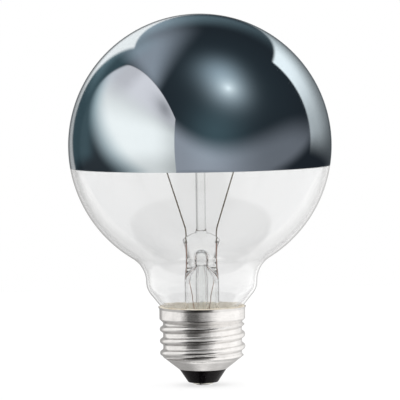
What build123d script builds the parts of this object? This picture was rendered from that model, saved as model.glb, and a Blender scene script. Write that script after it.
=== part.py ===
from build123d import *
import math
import os

os.makedirs("parts", exist_ok=True)

# Driving dimensions, in millimetres and degrees.
# The origin is the middle of the centre contact's lowest face. +Z runs up the lamp's
# axis through cap, neck and crown. The photo looks along +Y, and +X is its right.

# Globe and neck
globe_radius = 40.0
glass_wall = 0.7
hollow_radius = 8.59
neck_step = 4.46
neck_shoulder_radius = 6.0
neck_taper = 39.0
neck_corner_radius = 2.0
neck_skirt = 7.5
neck_clearance = 0.55

# Mirror inside the crown
mirror_drop = 6.2
mirror_film = 0.1

# Cap sheet, from the rim down to the lip round the insulator
cap_sheet = 0.25
rim_height = 24.0
collar_length = 3.7
collar_margin = 0.05
groove_drop = 1.0
lip_height = 4.95
lip_radius = 7.3
cone_angle = 52.0
shoulder_radius = 4.0
collar_edge_radius = 0.5
groove_radius = 0.6
rim_flare = 0.35
flare_height = 0.7
flare_bend_radius = 0.5

# Rolled screw thread of the cap
thread_pitch = 3.629
thread_crest_radius = 13.0
thread_depth = 1.0
thread_foot_share = 0.46
thread_root_dip = 0.06
thread_backing = 0.8
thread_crest_rise = 8.65
thread_lead_in = 1.25
thread_run_out = 1.2
thread_fade_angle = 45.0

# Cement between neck and cap
cement_gap = 0.36
cement_depth = 3.3

# Insulator and centre contact
insulator_bottom = 0.9
insulator_seat = 1.85
insulator_setback = 0.1
insulator_end_radius = 4.5
insulator_edge_radius = 0.4
contact_thickness = 0.45
barrel_radius = 1.4
barrel_wall = 0.5
barrel_length = 2.3
contact_flange = 1.6
solder_setback = 0.4
solder_flat_radius = 1.6
solder_plug_length = 1.5

# Stem: flared tube and press
stem_radius = 5.2
stem_wall = 0.8
stem_length = 17.0
lumen_drop = 0.5
lumen_dome_rise = 3.0
press_waist_rise = 5.5
press_waist_half_width = 4.8
press_waist_half_depth = 2.5
press_length = 13.2
press_half_width = 5.7
press_half_depth = 1.8
press_crown_radius = 8.5

# Exhaust tube, its bubble and hole in the press, and its sealed tip
exhaust_bore_radius = 1.2
exhaust_wall = 0.7
exhaust_drop = 2.0
exhaust_bubble_radius = 2.2
exhaust_hole_radius = 1.3
exhaust_tail = 3.5
exhaust_tip_length = 4.0
exhaust_tip_radius = 0.8

# Glass rod and its button
rod_radius = 1.5
rod_depth = 3.5
rod_length = 24.8
button_radius = 2.3

# Wires
inner_lead_diameter = 0.42
seal_wire_diameter = 0.4
outer_lead_diameter = 0.24
knot_radius = 0.4
knot_depth = 3.1
seal_wire_drop = 0.1
press_foot_inset = 0.43
press_top_inset = 1.05
lead_bend_rise = 0.9
lead_bend_radius = 6.0

# Filament and its supports
filament_rise = 3.0
filament_reach = 12.0
filament_diameter = 0.6
filament_corner_radius = 0.8
filament_spans = 4
support_diameter = 0.24
support_clearance = 0.02
hook_end_angle = 180.0
crimp_radius = 0.55
crimp_back = 0.4
crimp_front = 1.4

# Side lead, from the stem to the rim of the cap on the back
side_lead_drop = 4.1
side_lead_bend = 0.7
side_lead_clearance = 0.01
rim_bend_radius = 0.16
side_solder_radius = 0.8

# How far a cut runs past the face it opens
overrun = 1.0

# Radii that follow from the driving dimensions, from the thread outwards and inwards
thread_root_radius = thread_crest_radius - thread_depth
collar_radius = thread_crest_radius + collar_margin
collar_bore = collar_radius - cap_sheet
rim_radius = collar_radius + rim_flare
rim_seat_radius = collar_bore - cement_gap
neck_radius = rim_seat_radius + neck_step
neck_end_radius = thread_root_radius - cap_sheet - neck_clearance
neck_bore = neck_end_radius - glass_wall
side_lead_reach = neck_end_radius + neck_clearance / 2
stem_bore = stem_radius - stem_wall
exhaust_radius = exhaust_bore_radius + exhaust_wall
barrel_bore_radius = barrel_radius - barrel_wall
contact_radius = barrel_radius + contact_flange
solder_radius = contact_radius - solder_setback
insulator_radius = lip_radius - insulator_setback
taper = math.radians(neck_taper)
cone = math.radians(cone_angle)

# Heights of the cap, down from its rim and up from its lip
flare_foot = rim_height - flare_height
collar_bottom = rim_height - collar_length
groove_height = collar_bottom - groove_drop
cement_bottom = rim_height - cement_depth
seal_height = rim_height - neck_skirt
side_lead_turn = seal_height - side_lead_drop
thread_start = lip_height + thread_lead_in
thread_top = groove_height + thread_run_out
thread_crest_height = lip_height + thread_crest_rise
insulator_top = lip_height + insulator_seat
barrel_top = insulator_bottom + barrel_length
solder_plug_top = insulator_bottom + solder_plug_length

# Heights of the stem and what it carries, up from the end of the neck
press_foot = seal_height + stem_length
press_waist_height = press_foot + press_waist_rise
press_top = press_foot + press_length
lumen_dome_foot = press_foot - lumen_drop
seal_wire_bottom = press_foot - seal_wire_drop
exhaust_bore_top = press_waist_height
exhaust_top = exhaust_bore_top - exhaust_drop
exhaust_tip_height = seal_height - exhaust_tail
knot_height = press_top - knot_depth
lead_bend_height = press_top + lead_bend_rise
rod_foot = press_top - rod_depth
button_height = rod_foot + rod_length
filament_height = button_height + filament_rise

# The neck's taper leaves its shoulder arc and runs down past the rim of the cap
shoulder_centre_radius = neck_radius - neck_shoulder_radius
taper_reach = shoulder_centre_radius + neck_shoulder_radius * math.cos(taper) - rim_seat_radius
taper_length = taper_reach / math.sin(taper)
shoulder_drop = neck_shoulder_radius * math.sin(taper)
neck_height = rim_height + shoulder_drop + taper_length * math.cos(taper)

# The hollow arc between neck and globe stands upright at the neck and touches the globe,
# which gives the globe its height and the lamp its length of 113 mm
hollow_centre_radius = neck_radius + hollow_radius
hollow_distance = globe_radius + hollow_radius
globe_to_neck = math.sqrt(hollow_distance**2 - hollow_centre_radius**2)
globe_centre = neck_height + globe_to_neck
hollow_out = hollow_centre_radius / hollow_distance
hollow_down = globe_to_neck / hollow_distance

# The corner arc turns the taper upright at the end of the neck
corner_centre_radius = neck_end_radius + neck_corner_radius
corner_run = (
    shoulder_centre_radius
    + (neck_shoulder_radius + neck_corner_radius) * math.cos(taper)
    - corner_centre_radius
) / math.sin(taper)
corner_centre_height = (
    neck_height
    - (neck_shoulder_radius + neck_corner_radius) * math.sin(taper)
    - corner_run * math.cos(taper)
)


def arc_between(centre, radius, start_angle, end_angle):
    """Draws an arc about a centre, from one angle to the other."""
    return CenterArc(centre, radius, start_angle, end_angle - start_angle)


def globe_outline(inset):
    """Draws the closed half section of the globe and neck, inset from the outer surface."""
    bottom = seal_height - (overrun if inset else 0)
    hollow_angle = math.degrees(math.atan2(hollow_down, hollow_out))
    crown = (0, globe_centre + globe_radius - inset)
    neck_foot = (neck_end_radius - inset, bottom)
    globe_arc = arc_between((0, globe_centre), globe_radius - inset, 90, -hollow_angle)
    hollow_arc = arc_between(
        (hollow_centre_radius, neck_height), hollow_radius + inset, 180 - hollow_angle, 180
    )
    shoulder_arc = arc_between(
        (shoulder_centre_radius, neck_height), neck_shoulder_radius - inset, 0, -neck_taper
    )
    corner_arc = arc_between(
        (corner_centre_radius, corner_centre_height),
        neck_corner_radius + inset,
        180 - neck_taper,
        180,
    )
    Line(shoulder_arc @ 1, corner_arc @ 0)
    Line(corner_arc @ 1, neck_foot)
    Line(neck_foot, (0, bottom))
    Line((0, bottom), crown)


def cone_reach(height, inset):
    """Radius of the cap's cone at a height, inset square to the sheet."""
    return lip_radius - inset / math.cos(cone) + (height - lip_height) * math.tan(cone)


def cap_outline(inset):
    """Draws the closed half section of the cap without its thread, inset by a depth."""
    bottom = lip_height - (overrun if inset else 0)
    top = rim_height + (overrun if inset else 0)
    root = thread_root_radius - inset
    collar = collar_radius - inset
    cone_top = lip_height + (root - cone_reach(lip_height, inset)) / math.tan(cone)
    rim = collar + rim_flare * (top - flare_foot) / flare_height
    FilletPolyline(
        (0, bottom),
        (cone_reach(bottom, inset), bottom),
        (root, cone_top),
        (root, groove_height),
        (collar, collar_bottom),
        (collar, flare_foot),
        (rim, top),
        (0, top),
        radius=[
            0,
            shoulder_radius - inset,
            groove_radius + inset,
            collar_edge_radius - inset,
            flare_bend_radius + inset,
            0,
        ],
    )
    Line((0, top), (0, bottom))


def ridge_outline(half_width, height):
    """Draws the round topped thread ridge, its foot sunk a little below the root."""
    arc_radius = (height**2 + half_width**2) / (4 * height)
    flank_angle = math.degrees(math.asin(half_width / (2 * arc_radius)))
    crest_centre = (height - thread_root_dip - arc_radius, 0)
    crest_arc = arc_between(crest_centre, arc_radius, -flank_angle, flank_angle)
    foot_height = arc_radius - thread_root_dip
    upper_arc = arc_between(
        (foot_height, half_width), arc_radius, 180 + flank_angle, 180
    )
    lower_arc = arc_between(
        (foot_height, -half_width), arc_radius, 180, 180 - flank_angle
    )
    Line(upper_arc @ 1, (-thread_backing, half_width))
    Line((-thread_backing, half_width), (-thread_backing, -half_width))
    Line((-thread_backing, -half_width), lower_arc @ 0)


def ridge_limit(inset):
    """Draws the half section that the thread stays in: its fading ends and its height."""
    limit = thread_crest_radius + overrun
    fade = math.tan(math.radians(thread_fade_angle))
    fade_top = groove_height
    fade_bottom = fade_top - (limit - thread_root_radius + inset) / fade
    cone_top = lip_height + (limit - cone_reach(lip_height, inset)) / math.tan(cone)
    Polyline(
        (0, lip_height),
        (cone_reach(lip_height, inset), lip_height),
        (limit, cone_top),
        (limit, fade_bottom),
        (thread_root_radius - inset, fade_top),
        (0, fade_top),
        close=True,
    )


def thread_ridge(inset):
    """Sweeps the ridge along its helix and fades both ends, as a part of its own."""
    root = thread_root_radius - inset
    with BuildPart() as ridge:
        with BuildLine() as coil:
            Helix(thread_pitch, thread_top - thread_start, root, center=(0, 0, thread_start))
        start = Plane(origin=coil.line @ 0, x_dir=(1, 0, 0), z_dir=coil.line % 0)
        with BuildSketch(start):
            with BuildLine():
                ridge_outline(thread_foot_share * thread_pitch, thread_depth + thread_root_dip)
            make_face()
        sweep(is_frenet=True)
    turn = 180 + 360 * (thread_start - thread_crest_height) / thread_pitch
    with BuildPart() as faded:
        add(ridge.part, rotation=(0, 0, turn))
        with BuildSketch(Plane.XZ):
            with BuildLine():
                ridge_limit(inset)
            make_face()
        revolve(axis=Axis.Z, mode=Mode.INTERSECT)
    return faded.part


def wire_run(points, bends, diameter):
    """Sweeps a round wire along straight runs that are joined by bends."""
    with BuildLine() as run:
        if bends:
            FilletPolyline(points, radius=bends)
        else:
            Line(points)
    with BuildSketch(Plane(origin=run.line @ 0, z_dir=run.line % 0)) as section:
        Circle(diameter / 2)
    sweep(section.sketch, path=run.line)


def press_reach(height):
    """Distance from the axis of the wires that cross the press, at a height."""
    foot_reach = stem_bore - press_foot_inset
    top_reach = press_half_width - press_top_inset
    slope = (top_reach - foot_reach) / press_length
    return foot_reach + slope * (height - press_foot)


def keep(part, name):
    """Labels a finished piece and writes it to its own file."""
    part.label = name
    export_step(part, f"parts/{name}.step")


# Glass globe with its neck
with BuildPart() as glass_globe:
    with BuildSketch(Plane.XZ):
        with BuildLine():
            globe_outline(0)
        make_face()
    revolve(axis=Axis.Z)
    with BuildSketch(Plane.XZ):
        with BuildLine():
            globe_outline(glass_wall)
        make_face()
    revolve(axis=Axis.Z, mode=Mode.SUBTRACT)
keep(glass_globe.part, "glass_globe")

# Mirror film inside the crown, down to a level edge below the widest circle
with BuildPart() as mirror_coating:
    film_outside = globe_radius - glass_wall
    film_inside = film_outside - mirror_film
    outside_angle = -math.degrees(math.asin(mirror_drop / film_outside))
    inside_angle = -math.degrees(math.asin(mirror_drop / film_inside))
    with BuildSketch(Plane.XZ):
        with BuildLine():
            outside_arc = arc_between((0, globe_centre), film_outside, 90, outside_angle)
            inside_arc = arc_between((0, globe_centre), film_inside, inside_angle, 90)
            Line(outside_arc @ 1, inside_arc @ 0)
            Line(inside_arc @ 1, outside_arc @ 0)
        make_face()
    revolve(axis=Axis.Z)
keep(mirror_coating.part, "mirror_coating")

# Screw shell: one sheet, with the thread rolled through its whole thickness
with BuildPart() as screw_shell:
    with BuildSketch(Plane.XZ):
        with BuildLine():
            cap_outline(0)
        make_face()
    revolve(axis=Axis.Z)
    add(thread_ridge(0))
    with BuildSketch(Plane.XZ):
        with BuildLine():
            cap_outline(cap_sheet)
        make_face()
    revolve(axis=Axis.Z, mode=Mode.SUBTRACT)
    add(thread_ridge(cap_sheet), mode=Mode.SUBTRACT)
keep(screw_shell.part, "screw_shell")

# Insulator: black glass that fills the end of the shell, with a hole for the eyelet
with BuildPart() as insulator:
    with BuildSketch(Plane.XZ):
        with BuildLine():
            FilletPolyline(
                (barrel_radius, insulator_bottom),
                (insulator_end_radius, insulator_bottom),
                (insulator_radius, lip_height),
                (cone_reach(lip_height, cap_sheet), lip_height),
                (cone_reach(insulator_top, cap_sheet), insulator_top),
                (barrel_radius, insulator_top),
                radius=[insulator_edge_radius, 0, 0, 0],
            )
            Line((barrel_radius, insulator_top), (barrel_radius, insulator_bottom))
        make_face()
    revolve(axis=Axis.Z)
keep(insulator.part, "insulator")

# Centre contact: a flanged eyelet
with BuildPart() as centre_contact:
    flange_bottom = insulator_bottom - contact_thickness
    with BuildSketch(Plane.XZ):
        with BuildLine():
            Polyline(
                (barrel_bore_radius, flange_bottom),
                (contact_radius, flange_bottom),
                (contact_radius, insulator_bottom),
                (barrel_radius, insulator_bottom),
                (barrel_radius, barrel_top),
                (barrel_bore_radius, barrel_top),
                close=True,
            )
        make_face()
    revolve(axis=Axis.Z)
keep(centre_contact.part, "centre_contact")

# Corners of the filament, which the inner leads and the supports reach up to
filament_turn = 180 / filament_spans
corner_points = []
for corner in range(filament_spans + 1):
    corner_angle = math.radians(corner * filament_turn)
    corner_points.append(
        (
            filament_reach * math.cos(corner_angle),
            filament_reach * math.sin(corner_angle),
            filament_height,
        )
    )

# Filament: the outer form of the fine coil, strung round the back over its supports
with BuildPart() as filament:
    with BuildLine() as filament_path:
        FilletPolyline(corner_points, radius=filament_corner_radius)
    with BuildSketch(Plane(origin=filament_path.line @ 0, z_dir=filament_path.line % 0)):
        Circle(filament_diameter / 2)
    sweep()
keep(filament.part, "filament")

# Seal wires, straight through the press, and the inner leads that rise from their knots
seal_wires = {}
inner_leads = {}
for side, sign in (("left", -1), ("right", 1)):
    knot_point = (sign * press_reach(knot_height), 0, knot_height)
    wire_foot = (sign * press_reach(seal_wire_bottom), 0, seal_wire_bottom)

    with BuildPart() as seal_wire:
        wire_run([wire_foot, knot_point], [], seal_wire_diameter)
        with Locations(knot_point):
            Sphere(knot_radius, mode=Mode.SUBTRACT)
    seal_wires[side] = seal_wire.part
    keep(seal_wire.part, f"seal_wire_{side}")

    lead_tip = Vector(sign * filament_reach, 0, filament_height)
    strand = corner_points[1] if sign > 0 else corner_points[-2]
    strand_way = (Vector(*strand) - lead_tip).normalized()
    lead_bend = (sign * press_reach(lead_bend_height), 0, lead_bend_height)
    with BuildPart() as inner_lead:
        wire_run([knot_point, lead_bend, lead_tip], [lead_bend_radius], inner_lead_diameter)
        with Locations(knot_point):
            Sphere(knot_radius)
        with Locations(Plane(origin=lead_tip - strand_way * crimp_back, z_dir=strand_way)):
            Cylinder(
                crimp_radius,
                crimp_back + crimp_front,
                align=(Align.CENTER, Align.CENTER, Align.MIN),
            )
        add(filament.part, mode=Mode.SUBTRACT)
    inner_leads[side] = inner_lead.part
    keep(inner_lead.part, f"inner_lead_{side}")

# Support wires: from the button out to a hook round each corner of the filament
button_centre = Vector(0, 0, button_height)
hook_radius = (filament_diameter + support_diameter) / 2 + support_clearance
support_wires = {}
filament_corners = filament_path.line.edges().filter_by(GeomType.CIRCLE).sort_by(Axis.X)
for side, corner_arc in zip(("left", "middle", "right"), filament_corners):
    hook_centre = corner_arc @ 0.5
    reach = hook_centre - button_centre
    hook_plane = Plane(origin=hook_centre, x_dir=reach.normalized(), z_dir=corner_arc % 0.5)
    with BuildPart() as support_wire:
        with BuildLine(hook_plane) as hook:
            Line((overrun - reach.length, -hook_radius), (0, -hook_radius))
            arc_between((0, 0), hook_radius, -90, hook_end_angle)
        with BuildSketch(Plane(origin=hook.line @ 0, z_dir=hook.line % 0)):
            Circle(support_diameter / 2)
        sweep()
    support_wires[side] = support_wire.part
    keep(support_wire.part, f"support_wire_{side}")

# Glass rod with the button melted on its top round the ends of the supports
with BuildPart() as support_rod:
    with Locations((0, 0, rod_foot)):
        Cylinder(
            rod_radius,
            button_height - rod_foot,
            align=(Align.CENTER, Align.CENTER, Align.MIN),
        )
    with Locations((0, 0, button_height)):
        Sphere(button_radius)
    for support_part in support_wires.values():
        add(support_part, mode=Mode.SUBTRACT)
keep(support_rod.part, "support_rod")

# Exhaust tube: open at the press, drawn to a sealed round tip inside the cap
with BuildPart() as exhaust_tube:
    tip_shoulder = exhaust_tip_height + exhaust_tip_length
    bore_foot = exhaust_tip_height + exhaust_tip_length / 2
    with BuildSketch(Plane.XZ):
        with BuildLine():
            FilletPolyline(
                (0, exhaust_tip_height),
                (exhaust_tip_radius, exhaust_tip_height),
                (exhaust_radius, tip_shoulder),
                (exhaust_radius, exhaust_top),
                (exhaust_bore_radius, exhaust_top),
                (exhaust_bore_radius, tip_shoulder),
                (0, bore_foot),
                radius=[exhaust_tip_radius / 2, exhaust_radius, 0, 0, exhaust_bore_radius],
            )
            Line((0, bore_foot), (0, exhaust_tip_height))
        make_face()
    revolve(axis=Axis.Z)
keep(exhaust_tube.part, "exhaust_tube")

# Stem: flared tube with the press squeezed flat at its top
flare_arc_radius = neck_bore - stem_radius
flare_centre = (neck_bore, seal_height + stem_wall + flare_arc_radius)
with BuildPart() as stem_flare:
    with BuildSketch(Plane.XZ):
        with BuildLine():
            flare_outside = arc_between(flare_centre, flare_arc_radius, 270, 180)
            Polyline(
                flare_outside @ 1,
                (stem_radius, press_foot),
                (0, press_foot),
                (0, seal_height),
                (neck_bore, seal_height),
                flare_outside @ 0,
            )
        make_face()
    revolve(axis=Axis.Z)
    # The press: round where it leaves the tube, then ever flatter and wider
    with BuildSketch(Plane.XY.offset(press_foot)):
        Circle(stem_radius)
    with BuildSketch(Plane.XY.offset(press_waist_height)):
        Ellipse(press_waist_half_width, press_waist_half_depth)
    with BuildSketch(Plane.XY.offset(press_top)):
        Ellipse(press_half_width, press_half_depth)
    loft()
    # Its top is a shallow arch
    with BuildSketch(Plane.XZ):
        with Locations((0, press_top)):
            Rectangle(4 * press_half_width, 2 * press_half_width)
        with Locations((0, press_top - press_crown_radius)):
            Circle(press_crown_radius, mode=Mode.SUBTRACT)
    extrude(amount=2 * stem_radius, both=True, mode=Mode.SUBTRACT)
    # Inside of the tube, with a rounded end under the press
    with BuildSketch(Plane.XZ):
        with BuildLine():
            flare_inside = arc_between(flare_centre, flare_arc_radius + stem_wall, 270, 180)
            lumen_dome = EllipticalCenterArc(
                (0, lumen_dome_foot), stem_bore, lumen_dome_rise, start_angle=0, arc_size=90
            )
            Line(flare_inside @ 1, lumen_dome @ 0)
            Polyline(
                lumen_dome @ 1,
                (0, seal_height - overrun),
                (neck_bore, seal_height - overrun),
                flare_inside @ 0,
            )
        make_face()
    revolve(axis=Axis.Z, mode=Mode.SUBTRACT)
    # Socket of the exhaust tube, the bubble blown at its end and the hole into the globe
    with Locations((0, 0, lumen_dome_foot)):
        Cylinder(
            exhaust_radius,
            exhaust_top - lumen_dome_foot,
            align=(Align.CENTER, Align.CENTER, Align.MIN),
            mode=Mode.SUBTRACT,
        )
        Cylinder(
            exhaust_bore_radius,
            exhaust_bore_top - lumen_dome_foot,
            align=(Align.CENTER, Align.CENTER, Align.MIN),
            mode=Mode.SUBTRACT,
        )
    with Locations((0, 0, exhaust_bore_top)):
        Sphere(exhaust_bubble_radius, mode=Mode.SUBTRACT)
    with Locations(Plane(origin=(0, 0, exhaust_bore_top), z_dir=(0, -1, 0))):
        Cylinder(
            exhaust_hole_radius,
            stem_radius,
            align=(Align.CENTER, Align.CENTER, Align.MIN),
            mode=Mode.SUBTRACT,
        )
    # Sockets of the rod and of the wires that are melted in
    with Locations((0, 0, rod_foot)):
        Cylinder(
            rod_radius,
            press_top - rod_foot + overrun,
            align=(Align.CENTER, Align.CENTER, Align.MIN),
            mode=Mode.SUBTRACT,
        )
    for side in ("left", "right"):
        add(inner_leads[side], mode=Mode.SUBTRACT)
        add(seal_wires[side], mode=Mode.SUBTRACT)
keep(stem_flare.part, "stem_flare")

# Centre lead: from the left seal wire past the exhaust tip and down through the eyelet
with BuildPart() as centre_lead:
    beside_tube = -(exhaust_radius + outer_lead_diameter)
    wire_run(
        [
            (-press_reach(seal_wire_bottom), 0, seal_wire_bottom),
            (beside_tube - outer_lead_diameter, 0, press_foot - 2 * stem_radius),
            (beside_tube, 0, tip_shoulder),
            (0, 0, exhaust_tip_height - exhaust_tip_length),
            (0, 0, contact_thickness + overrun),
        ],
        [exhaust_tip_length, exhaust_tip_length, exhaust_tip_length],
        outer_lead_diameter,
    )
    add(seal_wires["left"], mode=Mode.SUBTRACT)
keep(centre_lead.part, "centre_lead")

# Side lead: out under the flare, up beside the neck and over the rim on the back
rim_wire_reach = collar_bore - side_lead_clearance - outer_lead_diameter / 2
rim_wire_height = rim_height + 2 * side_lead_clearance + outer_lead_diameter / 2
with BuildPart() as side_lead:
    wire_run(
        [
            (press_reach(seal_wire_bottom), 0, seal_wire_bottom),
            (exhaust_radius, exhaust_radius, seal_height + stem_radius),
            (0, stem_radius, side_lead_turn),
            (0, side_lead_reach, side_lead_turn),
            (0, side_lead_reach, cement_bottom),
            (0, rim_wire_reach, rim_height - overrun),
            (0, rim_wire_reach, rim_wire_height),
            (0, collar_radius + outer_lead_diameter, rim_wire_height),
        ],
        [
            exhaust_tip_length,
            side_lead_bend,
            side_lead_bend,
            side_lead_bend,
            side_lead_bend,
            rim_bend_radius,
        ],
        outer_lead_diameter,
    )
    add(seal_wires["right"], mode=Mode.SUBTRACT)
keep(side_lead.part, "side_lead")

# Solder drop that closes the eyelet and meets the contact of the holder
with BuildPart() as centre_solder:
    with BuildSketch(Plane.XZ):
        with BuildLine():
            Polyline(
                (solder_radius, flange_bottom),
                (barrel_bore_radius, flange_bottom),
                (barrel_bore_radius, solder_plug_top),
                (0, solder_plug_top),
                (0, 0),
                (solder_flat_radius, 0),
            )
            TangentArc((solder_flat_radius, 0), (solder_radius, flange_bottom), tangent=(1, 0))
        make_face()
    revolve(axis=Axis.Z)
    add(centre_lead.part, mode=Mode.SUBTRACT)
keep(centre_solder.part, "centre_solder")

# Cement ring between neck and cap, moulded round the side lead
with BuildPart() as basing_cement:
    with Locations((0, 0, cement_bottom)):
        Cylinder(
            rim_radius,
            rim_height - cement_bottom,
            align=(Align.CENTER, Align.CENTER, Align.MIN),
        )
    with BuildSketch(Plane.XZ):
        with BuildLine():
            cap_outline(cap_sheet)
        make_face()
    revolve(axis=Axis.Z, mode=Mode.INTERSECT)
    with BuildSketch(Plane.XZ):
        with BuildLine():
            globe_outline(0)
        make_face()
    revolve(axis=Axis.Z, mode=Mode.SUBTRACT)
    add(side_lead.part, mode=Mode.SUBTRACT)
keep(basing_cement.part, "basing_cement")

# Solder spot that joins the side lead to the rim, kept above the rim's level
with BuildPart() as side_solder:
    with Locations((0, rim_radius - cap_sheet, rim_height)):
        Sphere(side_solder_radius)
        Cylinder(
            side_solder_radius,
            side_solder_radius,
            align=(Align.CENTER, Align.CENTER, Align.MIN),
            mode=Mode.INTERSECT,
        )
    with BuildSketch(Plane.XZ):
        with BuildLine():
            globe_outline(0)
        make_face()
    revolve(axis=Axis.Z, mode=Mode.SUBTRACT)
    add(side_lead.part, mode=Mode.SUBTRACT)
keep(side_solder.part, "side_solder")
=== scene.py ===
import math

import bmesh
import bpy
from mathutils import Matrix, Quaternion, Vector


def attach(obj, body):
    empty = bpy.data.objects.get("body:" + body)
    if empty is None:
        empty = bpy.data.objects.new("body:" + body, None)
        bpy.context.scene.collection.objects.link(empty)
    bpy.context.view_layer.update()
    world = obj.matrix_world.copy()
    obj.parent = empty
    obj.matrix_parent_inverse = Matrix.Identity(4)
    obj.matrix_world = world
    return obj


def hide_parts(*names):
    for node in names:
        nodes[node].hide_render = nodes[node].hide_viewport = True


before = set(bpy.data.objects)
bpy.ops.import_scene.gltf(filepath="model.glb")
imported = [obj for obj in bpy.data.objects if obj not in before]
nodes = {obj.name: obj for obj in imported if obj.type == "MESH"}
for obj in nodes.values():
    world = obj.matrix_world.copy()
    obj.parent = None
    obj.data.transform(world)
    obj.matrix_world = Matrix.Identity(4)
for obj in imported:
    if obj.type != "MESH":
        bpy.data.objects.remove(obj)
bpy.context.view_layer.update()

# All sizes below are in millimetres, as on the drawing, and MM turns them into metres.
MM = 0.001
TURN_STEPS = 192
SHARP_ANGLE = 40.0
CUT_SHARP_ANGLE = 35.0
COIL_SHARP_ANGLE = 80.0

# Points nearer than this are one point, in millimetres in a section and in metres in a mesh
SAME_POINT = 1e-6
SAME_CORNER = 1e-8
LEAST_EDGE = 1e-9

# Globe and neck
GLOBE_RADIUS = 40.0
GLASS_WALL = 0.7
HOLLOW_RADIUS = 8.59
NECK_RADIUS = 16.9
SHOULDER_RADIUS = 6.0
NECK_TAPER = 39.0
NECK_END_RADIUS = 11.2
CORNER_RADIUS = 2.0
SEAL_HEIGHT = 16.5
RIM_HEIGHT = 24.0
RIM_SEAT_RADIUS = 12.44
COLLAR_BORE = 12.8
RIM_FLARE = 0.35
FLARE_FOOT = 23.3
GLOBE_STEPS = 110
HOLLOW_STEPS = 16
SHOULDER_STEPS = 12
TAPER_STEPS = 8
CORNER_STEPS = 6
NECK_STEPS = 6

# Mirror film inside the crown
MIRROR_DROP = 6.2
MIRROR_FILM = 0.1
FILM_SINK = 0.05
FILM_STEPS = 90

# Stem
STEM_STEPS = 96
STEM_RADIUS = 5.2
STEM_WALL = 0.8
PRESS_FOOT = 33.5
PRESS_WAIST = 39.0
PRESS_TOP = 46.7
PRESS_WIDTHS = (5.2, 4.8, 5.7)
PRESS_DEPTHS = (5.2, 2.5, 1.8)
CROWN_RADIUS = 8.5
CROWN_ROUND = 0.5
CROWN_STEPS = 8
PRESS_STEPS = 30
EAR_ROUND = 1.0
TUBE_DROP = 0.4
FLARE_GAP = 0.02
FLARE_END = 268
FLARE_STEPS = 20
TUBE_STEPS = 8
LUMEN_FOOT = 30.0
LUMEN_RISE = 7.2
LUMEN_CURVE = 1.6
LUMEN_STEPS = 12
EXHAUST_RADIUS = 1.9
EXHAUST_BORE = 1.2
EXHAUST_BUBBLE = 2.2
EXHAUST_TIP = 13.0
EXHAUST_TIP_LENGTH = 4.0
EXHAUST_TIP_RADIUS = 0.8
TIP_STEPS = 12
TIP_ROUND_STEPS = 6
BORE_FOOT = 2.0
BORE_FOOT_ROUND = 0.6
BORE_FOOT_SHARE = 0.6
BORE_STEPS = 10
BUBBLE_STEPS = 20
EXHAUST_HOLE = 1.3
HOLE_DEPTHS = (6.0, 2.9, 2.3, 1.7, 1.2, 0.0)
HOLE_LIP_DEPTH = 1.7
HOLE_WIDENING = 0.35
HOLE_WIDEST = 0.6
TOOL_STEPS = 48
ROD_RADIUS = 1.5
ROD_FOOT = 43.2
ROD_FLARE = 0.6
ROD_FLARE_SINK = 0.6
ROD_BEND_SINK = 0.3
ROD_BEND_RISE = 2.0
ROD_BEND_STEPS = 10
ROD_END_DROP = 2.2
ROD_STEPS = 12
BUTTON_HEIGHT = 68.0
BUTTON_RADIUS = 2.3
BUTTON_STEPS = 20

# Filament
FILAMENT_HEIGHT = 71.0
FILAMENT_REACH = 12.0
FILAMENT_SPANS = 4
FILAMENT_CORNER = 0.6
FILAMENT_CORNER_STEPS = 6
COIL_RADIUS = 0.26
COIL_WIRE = 0.04
COIL_PITCH = 0.15
COIL_STEPS = 12
COIL_SIDES = 5

# Cement, which stands a little above the rim where it was pressed out at the neck
CEMENT_BOTTOM = 20.7
CEMENT_STAND = 0.45
CEMENT_CLEARANCE = 0.03
CEMENT_SINK = 0.12
CEMENT_EDGE = 0.12
CEMENT_EDGE_DROPS = (0.03, 0.1)
CEMENT_MARGINS = (1.0, 2.0)
CEMENT_STEPS = 180
CEMENT_INNER_STEPS = 10

# Waves of the cement's top: height, count round the rim and offset
CEMENT_WAVES = ((0.05, 5, 0.7), (0.04, 11, 2.1), (0.03, 23, 0.0))

# Photograph: the camera's place, its turn about its line of sight and how far it looks down
CAMERA_PLACE = (0.0, -1100.0, 121.7)
CAMERA_AIM = (-0.2, 0.0, 56.42)
CAMERA_LENS = 326.3
CAMERA_ROLL = 0.8
CAMERA_PITCH = 3.4


# Half sections

def arc(centre, radius, start, end, count):
    """Points along an arc of the half section, both ends included."""
    points = []
    for index in range(count + 1):
        angle = math.radians(start + (end - start) * index / count)
        points.append(
            (centre[0] + radius * math.cos(angle), centre[1] + radius * math.sin(angle))
        )
    return points


def line(start, end, count):
    """Points along a straight run of the half section, both ends included."""
    points = []
    for index in range(count + 1):
        share = index / count
        points.append(
            (start[0] + (end[0] - start[0]) * share, start[1] + (end[1] - start[1]) * share)
        )
    return points


def joined(*runs):
    """One list of points from several runs, with shared ends kept once."""
    points = []
    for run in runs:
        for point in run:
            if points and math.dist(points[-1], point) < SAME_POINT:
                continue
            points.append(point)
    return points


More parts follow.
